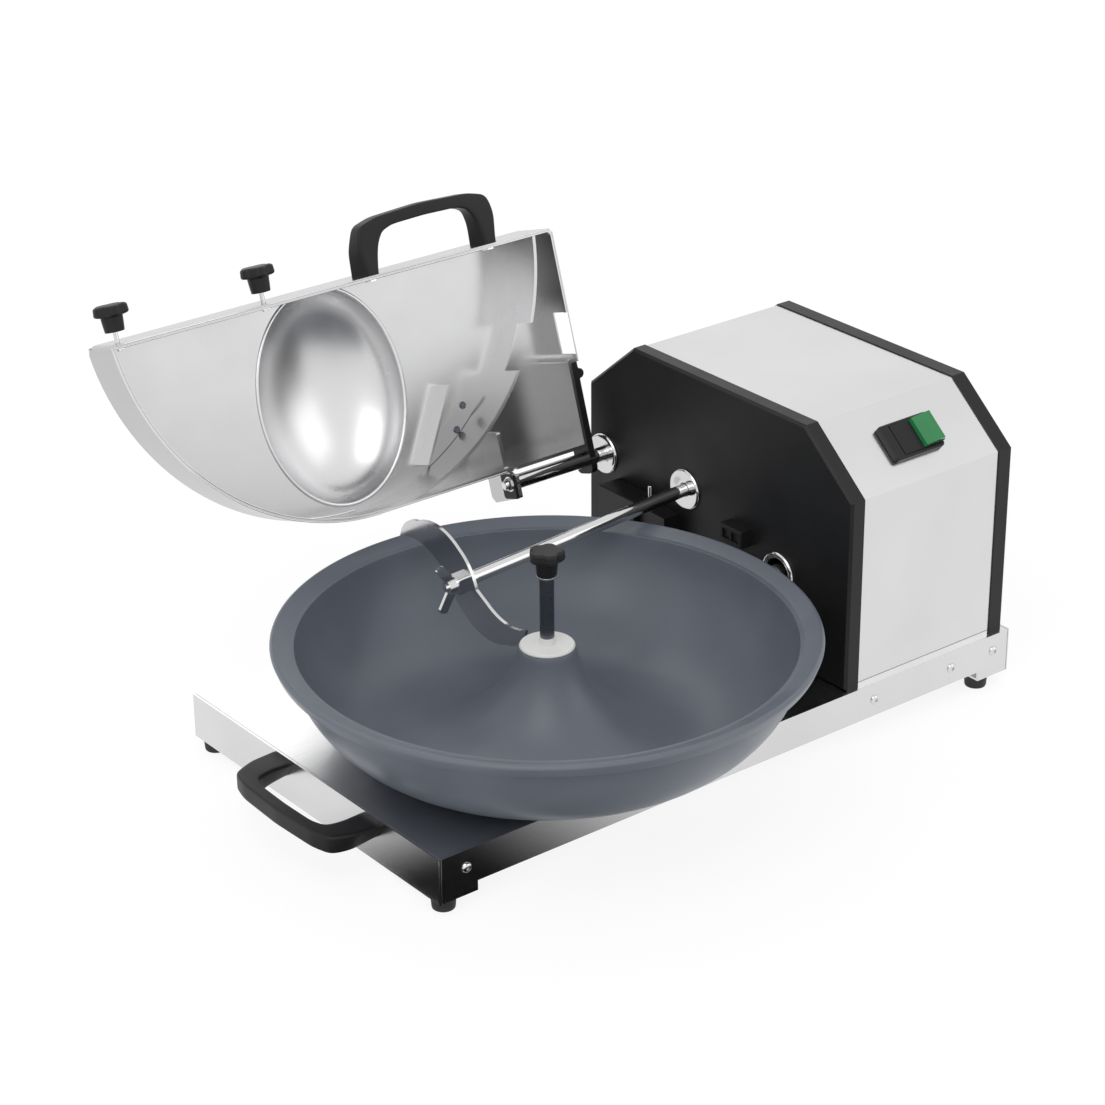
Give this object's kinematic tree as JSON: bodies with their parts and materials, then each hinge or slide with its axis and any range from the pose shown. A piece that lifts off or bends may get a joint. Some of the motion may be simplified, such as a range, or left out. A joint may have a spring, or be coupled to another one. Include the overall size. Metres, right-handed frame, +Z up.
{
  "type": "meat bowl cutter",
  "caption": "Bench meat bowl cutter: a wide turning bowl under a hinged domed lid, a curved knife on a driven shaft and a boxed motor housing on a folded steel base.",
  "frame": {"origin": "on the bench, under the middle of the machine's box with the cover open", "axes": "+X from the carrying handle to the motor housing, +Y towards the cover hinge, +Z up"},
  "size_m": [0.691, 0.5856, 0.4223],
  "materials": {
    "stainless": "fine brushed",
    "cover_steel": "polished",
    "bright_metal": "polished",
    "dark_metal": "dark polished",
    "knife_steel": "satin",
    "black_plastic": "satin",
    "foot_rubber": "matte",
    "bowl_metal": "hard satin coating",
    "white_plastic": "satin",
    "green_lens": "translucent gloss",
    "drive_steel": "turned",
    "motor_paint": "satin paint",
    "cast_alloy": "cast"
  },
  "bodies": {
    "machine": {"base_tray": "stainless", "front_apron": "stainless", "rear_apron": "stainless", "foot_front_right": "foot_rubber", "foot_front_left": "foot_rubber", "foot_rear_right": "foot_rubber", "foot_rear_left": "foot_rubber", "skirt_screws": "bright_metal", "front_handle": "black_plastic", "front_handle_bolts": "bright_metal", "housing_front_panel": "black_plastic", "housing_rear_panel": "black_plastic", "housing_wrap": "stainless", "housing_sills": "stainless", "hinge_flange": "bright_metal", "shaft_flange": "bright_metal", "drive_flange": "bright_metal", "hinge_rod": "bright_metal", "hinge_rod_nut": "bright_metal", "motor": "motor_paint", "motor_saddle": "cast_alloy", "bowl_gearmotor": "motor_paint", "bowl_spindle": "drive_steel", "switch_frame": "black_plastic", "interlock_housing": "black_plastic", "bowl_sensor": "black_plastic"},
    "cover": {"cover_shell": "cover_steel", "cover_dome": "cover_steel", "cover_lug": "cover_steel", "cover_lug_pad": "black_plastic", "cover_side_plate": "black_plastic", "cover_bracket": "cover_steel", "cover_rivets": "cover_steel", "cover_handle": "black_plastic", "cover_handle_bolts": "bright_metal", "cover_nut_left": "bright_metal", "cover_nut_right": "bright_metal"},
    "cover_clamp_left": {"cover_knob_left": "black_plastic", "cover_stud_left": "bright_metal"},
    "cover_clamp_right": {"cover_knob_right": "black_plastic", "cover_stud_right": "bright_metal"},
    "bowl_unit": {"bowl": "bowl_metal", "bowl_crown": "bowl_metal", "bowl_bushing": "white_plastic", "bowl_washer": "white_plastic"},
    "bowl_clamp": {"clamp_post_boss": "white_plastic", "clamp_post": "dark_metal", "clamp_post_washer": "bright_metal", "clamp_knob": "black_plastic"},
    "knife_unit": {"knife_shaft": "bright_metal", "knife_spacer": "bright_metal", "knife": "knife_steel", "knife_collar": "bright_metal"},
    "knife_nut": {"wing_nut": "bright_metal"},
    "pinion": {"pinion_shaft": "drive_steel", "bowl_pinion": "drive_steel"},
    "rocker": {"switch_rocker": "black_plastic", "switch_lens": "green_lens"},
    "feeler": {"interlock_pin": "bright_metal"}
  },
  "joints": [
    {"name": "cover_hinge", "type": "hinge", "parent": "machine", "child": "cover", "pos_m": [0, 0.16719, 0.1676], "axis": [1, 0, 0], "range_deg": [0, 108]},
    {"name": "knife_spin", "type": "hinge", "parent": "machine", "child": "knife_unit", "pos_m": [-0.1045, 0.05169, 0.15617], "axis": [0.9982, 0, 0.0602], "continuous": true},
    {"name": "bowl_spin", "type": "hinge", "parent": "machine", "child": "bowl_unit", "pos_m": [-0.1025, -0.06231, 0.093], "axis": [0, 0, 1], "continuous": true},
    {"name": "pinion_spin", "type": "hinge", "parent": "machine", "child": "pinion", "pos_m": [0.1465, -0.07392, 0.13505], "axis": [1, 0, 0], "continuous": true},
    {"name": "bowl_clamp_turn", "type": "hinge", "parent": "machine", "child": "bowl_clamp", "pos_m": [-0.1025, -0.06231, 0.199], "axis": [0, 0, 1], "continuous": true},
    {"name": "cover_clamp_left_turn", "type": "hinge", "parent": "cover", "child": "cover_clamp_left", "pos_m": [-0.31749, 0.23869, 0.37148], "axis": [0, 0.309, 0.9511], "continuous": true},
    {"name": "cover_clamp_right_turn", "type": "hinge", "parent": "cover", "child": "cover_clamp_right", "pos_m": [-0.17249, 0.23869, 0.37148], "axis": [0, 0.309, 0.9511], "continuous": true},
    {"name": "knife_nut_turn", "type": "hinge", "parent": "knife_unit", "child": "knife_nut", "pos_m": [-0.1045, 0.05169, 0.15617], "axis": [0.9982, 0, 0.0602], "continuous": true},
    {"name": "switch_rock", "type": "hinge", "parent": "machine", "child": "rocker", "pos_m": [0.2451, -0.13566, 0.2604], "axis": [0, 0.7636, 0.6457], "range_deg": [0, 12]},
    {"name": "feeler_press", "type": "slide", "parent": "machine", "child": "feeler", "axis": [0, 0, 1], "range_m": [-0.004, 0], "stiffness_N_per_m": 150}
  ],
  "couplings": [
    {"joint": "pinion_spin", "follows": "bowl_spin", "ratio": -24}
  ]
}
